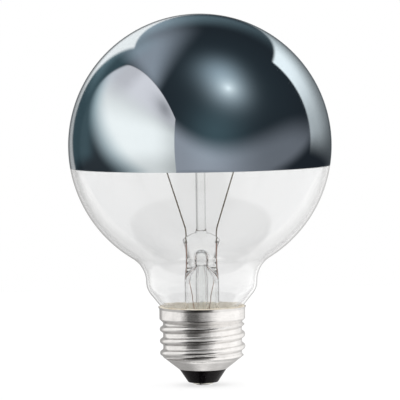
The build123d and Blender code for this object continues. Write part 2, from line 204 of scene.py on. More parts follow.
taper = math.radians(NECK_TAPER)
shoulder_centre = NECK_RADIUS - SHOULDER_RADIUS
taper_reach = shoulder_centre + SHOULDER_RADIUS * math.cos(taper)
taper_run = (taper_reach - RIM_SEAT_RADIUS) / math.tan(taper)
neck_height = RIM_HEIGHT + SHOULDER_RADIUS * math.sin(taper) + taper_run
hollow_centre = NECK_RADIUS + HOLLOW_RADIUS
hollow_distance = GLOBE_RADIUS + HOLLOW_RADIUS
globe_to_neck = math.sqrt(hollow_distance**2 - hollow_centre**2)
globe_centre = neck_height + globe_to_neck
hollow_angle = math.degrees(math.atan2(globe_to_neck, hollow_centre))
corner_centre = NECK_END_RADIUS + CORNER_RADIUS
arc_sum = SHOULDER_RADIUS + CORNER_RADIUS
corner_run = (shoulder_centre + arc_sum * math.cos(taper) - corner_centre) / math.tan(taper)
corner_height = neck_height - arc_sum * math.sin(taper) - corner_run


def globe_section(inset):
    """The globe's half section from crown to neck end, inset from the outer surface."""
    shoulder_place = (shoulder_centre, neck_height)
    shoulder = arc(shoulder_place, SHOULDER_RADIUS - inset, 0, -NECK_TAPER, SHOULDER_STEPS)
    corner_place = (corner_centre, corner_height)
    corner = arc(corner_place, CORNER_RADIUS + inset, 180 - NECK_TAPER, 180, CORNER_STEPS)
    hollow_place = (hollow_centre, neck_height)
    return joined(
        arc((0, globe_centre), GLOBE_RADIUS - inset, 90, -hollow_angle, GLOBE_STEPS),
        arc(hollow_place, HOLLOW_RADIUS + inset, 180 - hollow_angle, 180, HOLLOW_STEPS),
        shoulder,
        line(shoulder[-1], corner[0], TAPER_STEPS),
        corner,
        line(corner[-1], (NECK_END_RADIUS - inset, SEAL_HEIGHT), NECK_STEPS),
    )


# Meshes

def show(name, mesh):
    """Puts a mesh into the scene as an object."""
    made = bpy.data.objects.new(name, mesh)
    bpy.context.scene.collection.objects.link(made)
    return made


def mesh_from_rows(name, rows, sharp_angle=SHARP_ANGLE, closed=False):
    """A smooth mesh from rings of points, each ring joined to the next one."""
    build = bmesh.new()
    grid = []
    for row in rows:
        grid.append([build.verts.new(Vector(point) * MM) for point in row])
    pairs = list(zip(grid, grid[1:]))
    if closed:
        pairs.append((grid[-1], grid[0]))
    for upper, lower in pairs:
        count = len(upper)
        for index in range(count):
            following = (index + 1) % count
            build.faces.new(
                (upper[index], upper[following], lower[following], lower[index])
            )
    bmesh.ops.remove_doubles(build, verts=build.verts, dist=SAME_CORNER)
    bmesh.ops.dissolve_degenerate(build, edges=build.edges, dist=LEAST_EDGE)
    bmesh.ops.recalc_face_normals(build, faces=build.faces)
    mesh = bpy.data.meshes.new(name)
    build.to_mesh(mesh)
    build.free()
    return smooth(mesh, sharp_angle)


def smooth(mesh, sharp_angle):
    """Shades a mesh smooth, apart from edges sharper than an angle."""
    mesh.polygons.foreach_set("use_smooth", [True] * len(mesh.polygons))
    mesh.set_sharp_from_angle(angle=math.radians(sharp_angle))
    return mesh


def turned_rows(section, steps):
    """Rings of points from a half section that is turned about the lamp's axis."""
    rows = []
    for radius, height in section:
        row = []
        for index in range(steps):
            angle = 2 * math.pi * index / steps
            row.append((radius * math.cos(angle), radius * math.sin(angle), height))
        rows.append(row)
    return rows


def lathe(name, section, steps=TURN_STEPS):
    """A piece turned about the lamp's axis from its half section."""
    return show(name, mesh_from_rows(name, turned_rows(section, steps)))


def cut(target, tool, operation):
    """Joins a tool to a piece or takes it out of it, and removes the tool."""
    step = target.modifiers.new("cut", "BOOLEAN")
    step.operation = operation
    step.solver = "EXACT"
    step.object = tool
    view = bpy.context.evaluated_depsgraph_get()
    made = bpy.data.meshes.new_from_object(target.evaluated_get(view))
    target.modifiers.remove(step)
    target.data = smooth(made, CUT_SHARP_ANGLE)
    bpy.data.objects.remove(tool)


# Globe: one closed skin of glass, from crown to neck end and back up inside
globe_glass = lathe("globe_glass", globe_section(0.0) + globe_section(GLASS_WALL)[::-1])

# Mirror film: sunk a little into the glass, so that the two share no face
film_outside = GLOBE_RADIUS - GLASS_WALL + FILM_SINK
film_inside = GLOBE_RADIUS - GLASS_WALL - MIRROR_FILM
outside_end = -math.degrees(math.asin(MIRROR_DROP / film_outside))
inside_end = -math.degrees(math.asin(MIRROR_DROP / film_inside))
film_section = arc((0, globe_centre), film_outside, 90, outside_end, FILM_STEPS)
film_section += arc((0, globe_centre), film_inside, inside_end, 90, FILM_STEPS)
mirror_film = lathe("mirror_film", film_section)


# Stem: flare, tube, press and exhaust tube as one skin of fused glass

def through_three(values, height):
    """Value at a height on the parabola through the press's foot, waist and top."""
    low, middle, high = values
    first = (middle - low) / (PRESS_WAIST - PRESS_FOOT)
    second = (high - middle) / (PRESS_TOP - PRESS_WAIST)
    bend = (second - first) / (PRESS_TOP - PRESS_FOOT)
    up = height - PRESS_FOOT
    return low + first * up + bend * up * (height - PRESS_WAIST)


def press_row(share, turn=0.0, lift=0.0):
    """A ring of the press, drawn in by a turn over its rounded top and bent to its arch."""
    level = PRESS_FOOT + share * (PRESS_TOP - PRESS_FOOT)
    half_width = through_three(PRESS_WIDTHS, level) - EAR_ROUND * (1 - math.cos(turn))
    half_depth = through_three(PRESS_DEPTHS, level) * math.cos(turn)
    row = []
    for index in range(STEM_STEPS):
        angle = 2 * math.pi * index / STEM_STEPS
        across = half_width * math.cos(angle)
        arch = math.sqrt(CROWN_RADIUS**2 - across**2) - CROWN_RADIUS
        height = level + arch * share**2 + lift
        row.append((across, half_depth * math.sin(angle), height))
    return row


stem_rows = []
for step in range(CROWN_STEPS, 0, -1):
    turn = math.radians(90 * step / CROWN_STEPS)
    stem_rows.append(press_row(1.0, turn, CROWN_ROUND * (math.sin(turn) - 1.0)))
for step in range(PRESS_STEPS, -1, -1):
    share = step / PRESS_STEPS
    stem_rows.append(press_row(share, 0.0, -CROWN_ROUND * share**3))
neck_bore = NECK_END_RADIUS - GLASS_WALL
flare_radius = neck_bore - STEM_RADIUS
flare_height = SEAL_HEIGHT + STEM_WALL + flare_radius
stem_bore = STEM_RADIUS - STEM_WALL
lumen_top = []
for step in range(LUMEN_STEPS + 1):
    share = step / LUMEN_STEPS
    reach = stem_bore - (stem_bore - EXHAUST_RADIUS) * share**LUMEN_CURVE
    lumen_top.append((reach, LUMEN_FOOT + LUMEN_RISE * share))
tip_shoulder = EXHAUST_TIP + EXHAUST_TIP_LENGTH
tip_section = []
for step in range(TIP_STEPS + 1):
    share = step / TIP_STEPS
    ease = share * share * (3 - 2 * share)
    reach = EXHAUST_RADIUS + (EXHAUST_TIP_RADIUS - EXHAUST_RADIUS) * ease
    tip_section.append((reach, tip_shoulder - (EXHAUST_TIP_LENGTH - EXHAUST_TIP_RADIUS) * share))
tube_section = joined(
    line((STEM_RADIUS, PRESS_FOOT - TUBE_DROP), (STEM_RADIUS, flare_height), TUBE_STEPS),
    arc((neck_bore, flare_height), flare_radius, 180, FLARE_END, FLARE_STEPS),
    [(neck_bore - FLARE_GAP, SEAL_HEIGHT + STEM_WALL), (neck_bore - FLARE_GAP, SEAL_HEIGHT)],
    arc((neck_bore, flare_height), flare_radius + STEM_WALL, FLARE_END, 180, FLARE_STEPS),
    line((stem_bore, flare_height), (stem_bore, LUMEN_FOOT), TUBE_STEPS),
    lumen_top,
    line((EXHAUST_RADIUS, lumen_top[-1][1]), (EXHAUST_RADIUS, tip_shoulder), TUBE_STEPS),
    tip_section,
    arc((0, EXHAUST_TIP + EXHAUST_TIP_RADIUS), EXHAUST_TIP_RADIUS, 0, -90, TIP_ROUND_STEPS),
)
stem_rows += turned_rows(tube_section, STEM_STEPS)
stem_glass = show("stem_glass", mesh_from_rows("stem_glass", stem_rows))

# Glass rod with its melted foot and button
button_angle = -math.degrees(math.acos(ROD_RADIUS / BUTTON_RADIUS))
bend_top = PRESS_TOP + ROD_BEND_RISE
foot_section = []
for step in range(ROD_BEND_STEPS + 1):
    share = step / ROD_BEND_STEPS
    reach = ROD_RADIUS + ROD_FLARE * (1 - share) ** 3
    foot_section.append((reach, PRESS_TOP - ROD_BEND_SINK + ROD_BEND_RISE * share))
rod_section = joined(
    [(0, ROD_FOOT), (ROD_RADIUS, ROD_FOOT), (ROD_RADIUS + ROD_FLARE, PRESS_TOP - ROD_FLARE_SINK)],
    foot_section,
    line((ROD_RADIUS, bend_top), (ROD_RADIUS, BUTTON_HEIGHT - ROD_END_DROP), ROD_STEPS),
    arc((0, BUTTON_HEIGHT), BUTTON_RADIUS, button_angle, 90, BUTTON_STEPS),
)
cut(stem_glass, lathe("rod_tool", rod_section, TOOL_STEPS), "UNION")

# Bore of the exhaust tube, its bubble, and the hole blown through the front of the press
bubble_angle = -math.degrees(math.acos(EXHAUST_BORE / EXHAUST_BUBBLE))
bore_foot = EXHAUST_TIP + BORE_FOOT
bore_section = joined(
    [
        (0, bore_foot),
        (EXHAUST_BORE * BORE_FOOT_SHARE, bore_foot + BORE_FOOT_ROUND),
        (EXHAUST_BORE, tip_shoulder),
    ],
    line((EXHAUST_BORE, tip_shoulder), (EXHAUST_BORE, PRESS_WAIST - EXHAUST_BUBBLE), BORE_STEPS),
    arc((0, PRESS_WAIST), EXHAUST_BUBBLE, bubble_angle, 90, BUBBLE_STEPS),
)
bore_tool = lathe("bore_tool", bore_section, TOOL_STEPS)
hole_rows = [[(0, -HOLE_DEPTHS[0], PRESS_WAIST)] * TOOL_STEPS]
for depth in HOLE_DEPTHS:
    widening = HOLE_WIDENING * max(0.0, depth - HOLE_LIP_DEPTH) ** 2
    reach = EXHAUST_HOLE + min(widening, HOLE_WIDEST)
    row = []
    for index in range(TOOL_STEPS):
        angle = 2 * math.pi * index / TOOL_STEPS
        row.append((reach * math.cos(angle), -depth, PRESS_WAIST + reach * math.sin(angle)))
    hole_rows.append(row)
hole_rows.append([(0, -HOLE_DEPTHS[-1], PRESS_WAIST)] * TOOL_STEPS)
hole_tool = show("hole_tool", mesh_from_rows("hole_tool", hole_rows))
cut(bore_tool, hole_tool, "UNION")
cut(stem_glass, bore_tool, "DIFFERENCE")


# Filament: the fine coil itself, strung over its supports

def filament_line():
    """Points along the filament's middle, with its corners rounded over the hooks."""
    corners = []
    for index in range(FILAMENT_SPANS + 1):
        angle = math.pi * index / FILAMENT_SPANS
        corners.append(
            Vector((math.cos(angle), math.sin(angle), 0)) * FILAMENT_REACH
            + Vector((0, 0, FILAMENT_HEIGHT))
        )
    points = [corners[0]]
    for before, corner, after in zip(corners, corners[1:], corners[2:]):
        entry = corner + (before - corner).normalized() * FILAMENT_CORNER
        leave = corner + (after - corner).normalized() * FILAMENT_CORNER
        for step in range(FILAMENT_CORNER_STEPS + 1):
            share = step / FILAMENT_CORNER_STEPS
            first = entry.lerp(corner, share)
            second = corner.lerp(leave, share)
            points.append(first.lerp(second, share))
    points.append(corners[-1])
    return points


def along(points, distance):
    """Point and direction at a distance along a line of points."""
    for start, end in zip(points, points[1:]):
        length = (end - start).length
        if distance <= length:
            return start.lerp(end, distance / length), (end - start).normalized()
        distance -= length
    return points[-1], (points[-1] - points[-2]).normalized()


coil_points = filament_line()
coil_length = sum((end - start).length for start, end in zip(coil_points, coil_points[1:]))
coil_count = int(coil_length / COIL_PITCH * COIL_STEPS)
up = Vector((0, 0, 1))
coil_middle = []
coil_outward = []
for index in range(coil_count + 1):
    place, forward = along(coil_points, coil_length * index / coil_count)
    angle = 2 * math.pi * index / COIL_STEPS
    outward = forward.cross(up) * math.cos(angle) + up * math.sin(angle)
    coil_middle.append(place + outward * COIL_RADIUS)
    coil_outward.append(outward.normalized())
coil_rows = []
for index, (place, outward) in enumerate(zip(coil_middle, coil_outward)):
    before = coil_middle[max(index - 1, 0)]
    after = coil_middle[min(index + 1, coil_count)]
    side = (after - before).normalized().cross(outward).normalized()
    row = []
    for corner in range(COIL_SIDES):
        angle = 2 * math.pi * corner / COIL_SIDES
        row.append(place + (outward * math.cos(angle) + side * math.sin(angle)) * COIL_WIRE)
    coil_rows.append(row)
coil_rows.insert(0, [coil_middle[0]] * COIL_SIDES)
coil_rows.append([coil_middle[-1]] * COIL_SIDES)
filament_coil = show("filament_coil", mesh_from_rows("filament_coil", coil_rows, COIL_SHARP_ANGLE))

# Cement: fills the gap between neck and cap, with an uneven top
cement_inner = []
for point in globe_section(-CEMENT_CLEARANCE):
    if CEMENT_BOTTOM - CEMENT_MARGINS[0] < point[1] < RIM_HEIGHT + CEMENT_MARGINS[1]:
        cement_inner.append(point)
cement_inner.sort(key=lambda point: point[1])


def neck_reach(height):
    """Radius of the cement's inner face at a height, just outside the glass."""
    for low, high in zip(cement_inner, cement_inner[1:]):
        if low[1] <= height <= high[1]:
            share = (height - low[1]) / (high[1] - low[1])
            return low[0] + (high[0] - low[0]) * share
    return cement_inner[-1][0]


def cement_top(index):
    """Height of the cement's top, uneven round the rim."""
    angle = 2 * math.pi * index / CEMENT_STEPS
    height = RIM_HEIGHT - CEMENT_SINK
    for swing, count, offset in CEMENT_WAVES:
        height += swing * math.sin(count * angle + offset)
    return height


def cap_reach(height):
    """Radius of the cement's outer face at a height, just inside the cap's flared rim."""
    share = (height - FLARE_FOOT) / (RIM_HEIGHT - FLARE_FOOT)
    return COLLAR_BORE - CEMENT_CLEARANCE + RIM_FLARE * min(max(share, 0.0), 1.0)


def cement_row(reach_at, height_at):
    """A ring of the cement from its height at each step and its reach at that height."""
    row = []
    for index in range(CEMENT_STEPS):
        angle = 2 * math.pi * index / CEMENT_STEPS
        height = height_at(index)
        reach = reach_at(height)
        row.append((reach * math.cos(angle), reach * math.sin(angle), height))
    return row


cement_rows = []
for step in range(CEMENT_INNER_STEPS + 1):
    share = step / CEMENT_INNER_STEPS
    cement_rows.append(cement_row(
        neck_reach,
        lambda index: CEMENT_BOTTOM + (cement_top(index) + CEMENT_STAND - CEMENT_BOTTOM) * share,
    ))
cement_rows.append(cement_row(
    lambda height: cap_reach(height) - CEMENT_EDGE,
    lambda index: cement_top(index) - CEMENT_EDGE_DROPS[0],
))
cement_rows.append(cement_row(cap_reach, lambda index: cement_top(index) - CEMENT_EDGE_DROPS[1]))
cement_rows.append(cement_row(cap_reach, lambda index: FLARE_FOOT))
cement_rows.append(cement_row(cap_reach, lambda index: CEMENT_BOTTOM))
cement_ring = show("cement_ring", mesh_from_rows("cement_ring", cement_rows, closed=True))


# Materials

class Graph:
    """Adds nodes to a node tree, with sockets or plain values as their inputs."""

    def __init__(self, tree):
        self.tree = tree
        tree.nodes.clear()

    def node(self, kind, **settings):
        """A new node with its settings."""
        made = self.tree.nodes.new(kind)
        for key, value in settings.items():
            setattr(made, key, value)
        return made

    def feed(self, socket, value):
        """Links a socket into an input, or sets a plain value on it."""
        if isinstance(value, bpy.types.NodeSocket):
            self.tree.links.new(value, socket)
        else:
            socket.default_value = value

    def math(self, operation, *values):
        """Result of a Math node."""
        made = self.node("ShaderNodeMath", operation=operation)
        for socket, value in zip(made.inputs, values):
            self.feed(socket, value)
        return made.outputs[0]

    def add(self, *values):
        """Sum of several values."""
        total = values[0]
        for value in values[1:]:
            total = self.math("ADD", total, value)
        return total

    def times(self, *values):
        """Product of several values."""
        total = values[0]
        for value in values[1:]:
            total = self.math("MULTIPLY", total, value)
        return total

    def minus(self, first, second):
        """Difference of two values."""
        return self.math("SUBTRACT", first, second)

    def ramp(self, value, low, high, start=0.0, end=1.0):
        """Smooth step from start to end while the value goes from low to high."""
        made = self.node("ShaderNodeMapRange", interpolation_type="SMOOTHSTEP")
        for name, entry in (
            ("Value", value),
            ("From Min", low),
            ("From Max", high),
            ("To Min", start),
            ("To Max", end),
        ):
            self.feed(made.inputs[name], entry)
        return made.outputs[0]

    def vector(self, operation, first, second=None, scale=None):
        """Result of a Vector Math node."""
        made = self.node("ShaderNodeVectorMath", operation=operation)
        self.feed(made.inputs[0], first)
        if second is not None:
            self.feed(made.inputs[1], second)
        if scale is not None:
            self.feed(made.inputs["Scale"], scale)
        return made.outputs["Value" if operation == "DOT_PRODUCT" else "Vector"]

    def noise(self, vector, scale, detail, roughness=0.5):
        """Noise from 0 to 1 at a place."""
        made = self.node("ShaderNodeTexNoise")
        self.feed(made.inputs["Vector"], vector)
        self.feed(made.inputs["Scale"], scale)
        self.feed(made.inputs["Detail"], detail)
        self.feed(made.inputs["Roughness"], roughness)
        return made.outputs["Fac"]

    def colours(self, value, *stops):
        """Colour from a ramp of (place, colour) stops."""
        made = self.node("ShaderNodeValToRGB")
        band = made.color_ramp.elements
        while len(band) < len(stops):
            band.new(0.5)
        for entry, (place, colour) in zip(band, stops):
            entry.position = place
            entry.color = (*colour, 1.0)
        self.feed(made.inputs["Fac"], value)
        return made.outputs["Color"]

    def bump(self, height, strength, distance):
        """Surface direction from a height."""
        made = self.node("ShaderNodeBump")
        self.feed(made.inputs["Height"], height)
        self.feed(made.inputs["Strength"], strength)
        self.feed(made.inputs["Distance"], distance)
        return made.outputs["Normal"]

    def place(self):
        """Place on the piece, in metres."""
        return self.node("ShaderNodeTexCoord").outputs["Object"]

    def stretched(self, vector, scale):
        """A place with each of its parts scaled."""
        return self.vector("MULTIPLY", vector, scale)

    def turned(self):
        """Place on a turned surface: sine and cosine of the angle round it, and the height."""
        parts = self.node("ShaderNodeSeparateXYZ")
        self.feed(parts.inputs[0], self.place())
        angle = self.math("ARCTAN2", parts.outputs[1], parts.outputs[0])
        made = self.node("ShaderNodeCombineXYZ")
        self.feed(made.inputs[0], self.math("SINE", angle))
        self.feed(made.inputs[1], self.math("COSINE", angle))
        self.feed(made.inputs[2], parts.outputs[2])
        return made.outputs[0]


def material(name):
    """A new node material with one Principled shader, as (material, graph, shader)."""
    made = bpy.data.materials.new(name)
    made.use_nodes = True
    graph = Graph(made.node_tree)
    shader = graph.node("ShaderNodeBsdfPrincipled")
    output = graph.node("ShaderNodeOutputMaterial")
    graph.tree.links.new(shader.outputs[0], output.inputs["Surface"])
    return made, graph, shader


GLASS_DULLNESS = 0.012
DULL_END_DROPS = (0.4, 0.2)
GLASS_WAVE_DEPTH = 0.0004
GLASS_WAVE_FINENESS = 1.7


def glass(name, pale, dark, ior, wave_scale, wave_strength, dull_under=None):
    """Clear glass with a faint unevenness, and a hair of dullness under a height if one is given."""
    made, graph, shader = material(name)
    place = graph.place()
    cloud = graph.noise(place, wave_scale, 2.0)
    graph.feed(shader.inputs["Base Color"], graph.colours(cloud, (0.3, dark), (0.7, pale)))
    shader.inputs["Roughness"].default_value = 0.0
    if dull_under is not None:
        parts = graph.node("ShaderNodeSeparateXYZ")
        graph.feed(parts.inputs[0], place)
        start, end = [(dull_under - drop) * MM for drop in DULL_END_DROPS]
        dullness = graph.ramp(parts.outputs[2], start, end, GLASS_DULLNESS, 0.0)
        graph.feed(shader.inputs["Roughness"], dullness)
    shader.inputs["IOR"].default_value = ior
    shader.inputs["Transmission Weight"].default_value = 1.0
    wave = graph.noise(place, wave_scale * GLASS_WAVE_FINENESS, 1.0)
    graph.feed(shader.inputs["Normal"], graph.bump(wave, wave_strength, GLASS_WAVE_DEPTH))
    open_face = graph.node("ShaderNodeBsdfTransparent")
    path = graph.node("ShaderNodeLightPath")
    both = graph.node("ShaderNodeMixShader")
    graph.feed(both.inputs[0], path.outputs["Is Shadow Ray"])
    graph.tree.links.new(shader.outputs[0], both.inputs[1])
    graph.tree.links.new(open_face.outputs[0], both.inputs[2])
    output = graph.tree.nodes["Material Output"]
    graph.tree.links.new(both.outputs[0], output.inputs["Surface"])
    return made


def metal(name, pale, dark, roughness, grain, bump_strength, bump_distance):
    """Bare metal with drawn or rolled grain in its colour, roughness and surface."""
    made, graph, shader = material(name)
    fine = graph.stretched(graph.place(), grain)
    streak = graph.noise(fine, 1.0, 5.0, 0.6)
    cloud = graph.noise(graph.place(), 700.0, 3.0)
    both = graph.add(graph.times(streak, 0.6), graph.times(cloud, 0.4))
    graph.feed(shader.inputs["Base Color"], graph.colours(both, (0.32, dark), (0.68, pale)))
    graph.feed(
        shader.inputs["Roughness"], graph.ramp(both, 0.3, 0.7, roughness[0], roughness[1])
    )
    shader.inputs["Metallic"].default_value = 1.0
    graph.feed(shader.inputs["Normal"], graph.bump(streak, bump_strength, bump_distance))
    return made


clear_glass = glass(
    "clear_glass", (0.918, 0.919, 0.918), (0.908, 0.91, 0.91), 1.5, 26.0, 0.012,
    dull_under=globe_centre - MIRROR_DROP,
)
fused_glass = glass(
    "fused_glass", (0.995, 0.997, 0.995), (0.975, 0.98, 0.975), 1.47, 160.0, 0.05
)
nickel = metal(
    "nickel_wire", (0.3, 0.27, 0.22), (0.11, 0.09, 0.07), (0.2, 0.4),
    (6000.0, 6000.0, 500.0), 0.2, 0.00002,
)
copper = metal(
    "copper_wire", (0.42, 0.24, 0.17), (0.2, 0.1, 0.07), (0.25, 0.45),
    (6000.0, 6000.0, 500.0), 0.2, 0.00002,
)
tungsten = metal(
    "tungsten_coil", (0.3, 0.3, 0.31), (0.12, 0.12, 0.13), (0.3, 0.5),
    (5000.0, 5000.0, 5000.0), 0.2, 0.00001,
)
support = metal(
    "support_metal", (0.42, 0.42, 0.43), (0.22, 0.22, 0.23), (0.25, 0.45),
    (5000.0, 5000.0, 5000.0), 0.2, 0.00001,
)
tin = metal(
    "solder", (0.72, 0.72, 0.73), (0.5, 0.5, 0.52), (0.22, 0.45),
    (900.0, 900.0, 900.0), 0.35, 0.00012,
)
brass = metal(
    "contact_metal", (0.72, 0.7, 0.64), (0.5, 0.48, 0.42), (0.22, 0.4),
    (2500.0, 2500.0, 2500.0), 0.2, 0.00003,
)

# Mirror film: bright metal with a faint cloudiness
mirror, graph, shader = material("mirror_film")
cloud = graph.noise(graph.place(), 60.0, 3.0)
graph.feed(
    shader.inputs["Base Color"],
    graph.colours(cloud, (0.3, (0.855, 0.87, 0.885)), (0.7, (0.885, 0.9, 0.91))),
)
graph.feed(shader.inputs["Roughness"], graph.ramp(cloud, 0.3, 0.7, 0.012, 0.03))
shader.inputs["Metallic"].default_value = 1.0

# Cap: bright rolled sheet with fine marks round it and a soft mottle
cap_metal, graph, shader = material("cap_metal")
round_it = graph.turned()
marks = graph.noise(graph.stretched(round_it, (2.5, 2.5, 5200.0)), 1.0, 5.0, 0.65)
mottle = graph.noise(graph.place(), 420.0, 5.0, 0.55)
both = graph.add(graph.times(marks, 0.45), graph.times(mottle, 0.55))
graph.feed(
    shader.inputs["Base Color"],
    graph.colours(both, (0.3, (0.78, 0.77, 0.76)), (0.62, (0.92, 0.91, 0.9))),
)
graph.feed(shader.inputs["Roughness"], graph.ramp(both, 0.3, 0.7, 0.26, 0.12))
shader.inputs["Metallic"].default_value = 1.0
dents = graph.noise(graph.place(), 420.0, 3.0)
height = graph.add(graph.times(marks, 0.25), dents)
graph.feed(shader.inputs["Normal"], graph.bump(height, 0.5, 0.0001))

# Insulator: moulded black glass, glossy with a faint grain
black_glass, graph, shader = material("black_glass")
grain = graph.noise(graph.place(), 1500.0, 5.0)
graph.feed(
    shader.inputs["Base Color"],
    graph.colours(grain, (0.3, (0.002, 0.0015, 0.002)), (0.75, (0.008, 0.006, 0.008))),
)
graph.feed(shader.inputs["Roughness"], graph.ramp(grain, 0.3, 0.7, 0.16, 0.32))
shader.inputs["IOR"].default_value = 1.5
shader.inputs["Specular IOR Level"].default_value = 0.12
swell = graph.noise(graph.place(), 500.0, 2.0)
graph.feed(shader.inputs["Normal"], graph.bump(swell, 0.2, 0.00005))

# Cement: baked, matt and grainy
cement, graph, shader = material("cement")
grain = graph.noise(graph.place(), 1600.0, 6.0, 0.7)
blotch = graph.noise(graph.place(), 260.0, 3.0)
both = graph.add(graph.times(grain, 0.5), graph.times(blotch, 0.5))
graph.feed(
    shader.inputs["Base Color"],
    graph.colours(
        both,
        (0.32, (0.6, 0.51, 0.38)),
        (0.5, (0.82, 0.75, 0.63)),
        (0.68, (0.92, 0.88, 0.8)),
    ),
)
shader.inputs["Roughness"].default_value = 0.85
graph.feed(shader.inputs["Normal"], graph.bump(grain, 0.5, 0.0001))


def dress(piece, made, slot=None, *stands_for):
    """Gives a piece its material; a new piece, told apart by a slot name that is otherwise unused,
    is also hung on the root body and hides the solids it replaces.
    """
    piece.data.materials.clear()
    piece.data.materials.append(made)
    if slot is None:
        return
    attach(piece, "root")
    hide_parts(*stands_for)


dress(globe_glass, clear_glass, "clear_glass", "glass_globe")
dress(mirror_film, mirror, "mirror_film", "mirror_coating")
dress(stem_glass, fused_glass, "stem_glass", "stem_flare", "exhaust_tube", "support_rod")
dress(filament_coil, tungsten, "tungsten_coil", "filament")
dress(cement_ring, cement, "cement", "basing_cement")
for name, made in (
    ("inner_lead_left", nickel),
    ("inner_lead_right", nickel),
    ("seal_wire_left", copper),
    ("seal_wire_right", copper),
    ("centre_lead", copper),
    ("side_lead", copper),
    ("support_wire_left", support),
    ("support_wire_middle", support),
    ("support_wire_right", support),
    ("screw_shell", cap_metal),
    ("insulator", black_glass),
    ("centre_contact", brass),
    ("centre_solder", tin),
    ("side_solder", tin),
):
    dress(nodes[name], made)

# Floor: white where nothing shades it, and it keeps the lamp's shadow
FLOOR_RADII = (0.0, 60.0, 200.0, 350.0)
FLOOR_HEIGHT = -0.02
FLOOR_STEPS = 96
FLOOR_OWN_LIGHT = 0.6
floor_rows = turned_rows([(radius, FLOOR_HEIGHT) for radius in FLOOR_RADII], FLOOR_STEPS)
floor = show("floor", mesh_from_rows("floor", floor_rows))
floor_white, graph, shader = material("floor_white")
speck = graph.noise(graph.place(), 400.0, 3.0)
graph.feed(
    shader.inputs["Base Color"], graph.colours(speck, (0.3, (0.44,) * 3), (0.7, (0.46,) * 3))
)
shader.inputs["Roughness"].default_value = 0.9
shader.inputs["Specular IOR Level"].default_value = 0.0
path = graph.node("ShaderNodeLightPath")
shader.inputs["Emission Color"].default_value = (1.0, 1.0, 1.0, 1.0)
graph.feed(
    shader.inputs["Emission Strength"], graph.times(path.outputs["Is Camera Ray"], FLOOR_OWN_LIGHT)
)
floor.data.materials.append(floor_white)
floor.visible_glossy = False
floor.visible_transmission = False


# Studio: what the mirror, the glass and the metal reflect. The background itself is white.

studio = bpy.data.worlds.new("studio")
studio.use_nodes = True
studio.cycles.sampling_method = "NONE"
bpy.context.scene.world = studio
graph = Graph(studio.node_tree)
sight = graph.node("ShaderNodeTexCoord").outputs["Generated"]
level = graph.node("ShaderNodeVectorRotate", rotation_type="X_AXIS")
graph.feed(level.inputs["Vector"], sight)
level.inputs["Angle"].default_value = math.radians(CAMERA_PITCH)
way = level.outputs[0]
parts = graph.node("ShaderNodeSeparateXYZ")
graph.feed(parts.inputs[0], way)
x, y, z = parts.outputs

# Smallest part of a direction that another part is divided by
LEAST_PART = 0.001


def plane(weights, offset=0.0):
    """Weighted sum of the direction's three parts."""
    total = graph.vector("DOT_PRODUCT", way, weights)
    if offset:
        total = graph.add(total, offset)
    return total


def glow(direction, reach, sharpness=1.0):
    """Round patch of light about a direction, 1 in its middle."""
    towards = Vector(direction).normalized()
    near = graph.math("MINIMUM", plane(tuple(towards)), 1.0)
    away = graph.math("DIVIDE", graph.math("ARCCOSINE", near), reach)
    if sharpness != 1.0:
        away = graph.math("POWER", away, sharpness)
    return graph.math("EXPONENT", graph.times(away, -1.0))


def tinted(amount, colour):
    """A colour scaled by an amount of light."""
    return graph.vector("SCALE", colour, scale=amount)


def together(*lights):
    """Sum of several coloured lights."""
    total = lights[0]
    for light in lights[1:]:
        total = graph.vector("ADD", total, light)
    return total


# Softbox on a wall to the left: along_wall is the distance back on it, rise the height
BOX_TOP = 1.311
BOX_TOP_SLOPE = 0.221
BOX_TOP_BEND = 0.13
BOX_CORNER = (0.386, 0.273, -0.5195)
FOLD_PLACE = (-1.45, 1.05)
FOLD_NARROWNESS = (1.82, 3.33)
FOLD_LIGHT = -0.4
UPPER_BACK_LIGHT = -0.18
FADE_SLOPE = 1.2
left = graph.math("MAXIMUM", graph.times(x, -1.0), LEAST_PART)
along_wall = graph.math("DIVIDE", y, left)
rise = graph.math("DIVIDE", z, left)
is_left = graph.ramp(x, -0.02, 0.0, 1.0, 0.0)
over_top = graph.add(
    rise,
    graph.times(along_wall, BOX_TOP_SLOPE),
    graph.times(along_wall, along_wall, BOX_TOP_BEND),
    -BOX_TOP,
)
past_corner = graph.add(
    graph.times(along_wall, BOX_CORNER[0]), graph.times(rise, BOX_CORNER[1]), BOX_CORNER[2]
)
box_shape = graph.times(
    is_left,
    graph.ramp(along_wall, -2.5, -2.4),
    graph.ramp(over_top, -0.025, 0.025, 1.0, 0.0),
    graph.ramp(past_corner, -0.03, 0.03, 1.0, 0.0),
    graph.ramp(along_wall, 0.72, 0.98, 1.0, 0.0),
)
upper_back = graph.times(
    graph.ramp(along_wall, -0.3, 0.15), graph.ramp(rise, 0.5, 0.9), UPPER_BACK_LIGHT
)
fold_along = graph.times(graph.minus(along_wall, FOLD_PLACE[0]), FOLD_NARROWNESS[0])
fold_rise = graph.times(graph.minus(rise, FOLD_PLACE[1]), FOLD_NARROWNESS[1])
fold_away = graph.add(graph.times(fold_along, fold_along), graph.times(fold_rise, fold_rise))
fold = graph.times(graph.math("EXPONENT", graph.times(fold_away, -1.0)), FOLD_LIGHT)
box_fade = graph.ramp(
    graph.minus(along_wall, graph.times(rise, FADE_SLOPE)), -0.42, 0.36, 1.0, 0.02
)
box_light = graph.times(
    box_shape,
    graph.add(graph.ramp(rise, 0.25, 0.7, 1.07, 0.78), upper_back, fold),
    box_fade,
    graph.ramp(along_wall, -2.4, -0.9, 0.7, 1.0),
    graph.ramp(z, -0.35, 0.0, 0.7, 1.0),
)
box_high = graph.ramp(rise, 0.45, 0.9)

